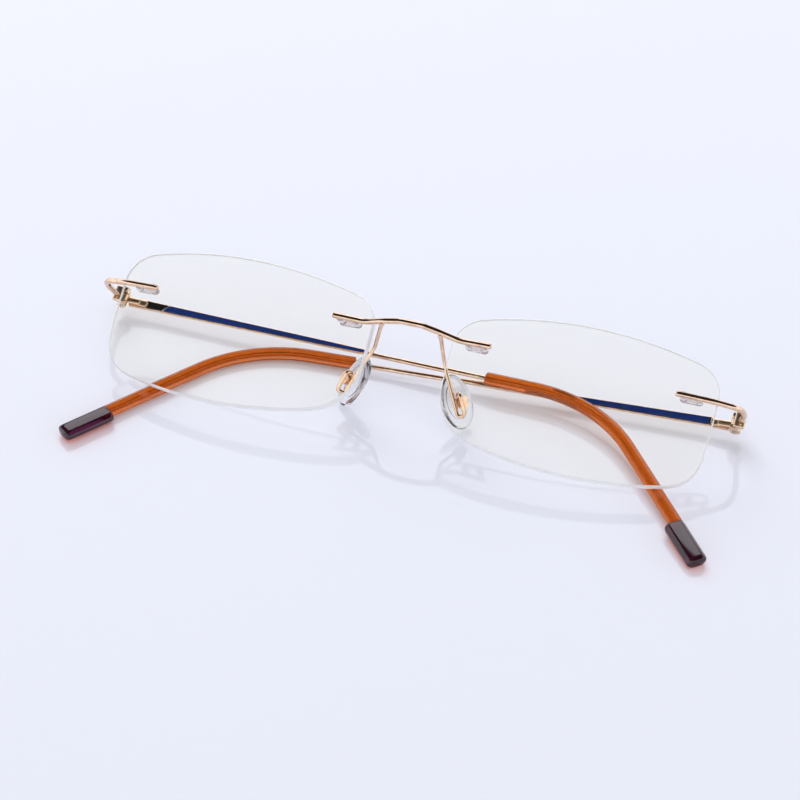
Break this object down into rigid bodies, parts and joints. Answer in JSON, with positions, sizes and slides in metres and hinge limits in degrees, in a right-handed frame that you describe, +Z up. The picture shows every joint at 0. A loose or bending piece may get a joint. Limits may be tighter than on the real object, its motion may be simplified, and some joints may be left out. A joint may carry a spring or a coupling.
{
  "type": "rimless eyeglasses",
  "caption": "Rimless eyeglasses lying folded: clear lenses pinned to a wire bridge and end pieces, clear nose pads on wire arms, hinged wire temples with amber sleeves.",
  "frame": {"origin": "centre of the folded eyeglasses, on the surface that they rest on", "axes": "+X towards the right lens seen from the front, +Z up, lenses lie 32 degrees from the surface with their fronts towards -Y and up"},
  "size_m": [0.135, 0.045, 0.0224],
  "materials": {
    "lens": "polished clear optical plastic",
    "clear_sleeve": "clear",
    "pad_silicone": "clear soft silicone",
    "pad_core": "clear",
    "gold_metal": "polished pale rose gold",
    "screw": "polished",
    "temple_inlay": "gloss enamel",
    "temple_tip": "translucent amber, dark at the end"
  },
  "bodies": {
    "front": {"bridge": "gold_metal", "left_bridge_sleeve": "clear_sleeve", "left_end_piece": "gold_metal", "left_end_sleeve": "clear_sleeve", "left_front_knuckle": "gold_metal", "left_hinge_screw": "screw", "left_lens": "lens", "left_pad_arm": "gold_metal", "left_pad_box": "gold_metal", "left_pad_screw": "screw", "right_bridge_sleeve": "clear_sleeve", "right_end_piece": "gold_metal", "right_end_sleeve": "clear_sleeve", "right_front_knuckle": "gold_metal", "right_hinge_screw": "screw", "right_lens": "lens", "right_pad_arm": "gold_metal", "right_pad_box": "gold_metal", "right_pad_screw": "screw"},
    "left_temple_body": {"left_temple": "gold_metal", "left_temple_inlay": "temple_inlay", "left_temple_knuckle": "gold_metal", "left_temple_tip": "temple_tip"},
    "left_pad_body": {"left_nose_pad": "pad_silicone", "left_pad_core": "pad_core"},
    "right_temple_body": {"right_temple": "gold_metal", "right_temple_inlay": "temple_inlay", "right_temple_knuckle": "gold_metal", "right_temple_tip": "temple_tip"},
    "right_pad_body": {"right_nose_pad": "pad_silicone", "right_pad_core": "pad_core"}
  },
  "joints": [
    {"name": "left_temple_fold", "type": "hinge", "parent": "front", "child": "left_temple_body", "pos_m": [-0.06515, 0.02002, 0.00339], "axis": [0.0202, 0.9268, 0.3749], "range_deg": [0, 90]},
    {"name": "right_temple_fold", "type": "hinge", "parent": "front", "child": "right_temple_body", "pos_m": [0.06485, 0.02002, 0.00339], "axis": [0.0467, -0.9261, -0.3744], "range_deg": [0, 90]},
    {"name": "left_pad_rock", "type": "hinge", "parent": "front", "child": "left_pad_body", "pos_m": [-0.01215, 0.00626, 0.00635], "axis": [-0.611, 0.7912, -0.0262], "range_deg": [-3, 9]},
    {"name": "right_pad_rock", "type": "hinge", "parent": "front", "child": "right_pad_body", "pos_m": [0.01185, 0.00626, 0.00635], "axis": [-0.611, -0.7912, 0.0262], "range_deg": [-3, 9]}
  ]
}
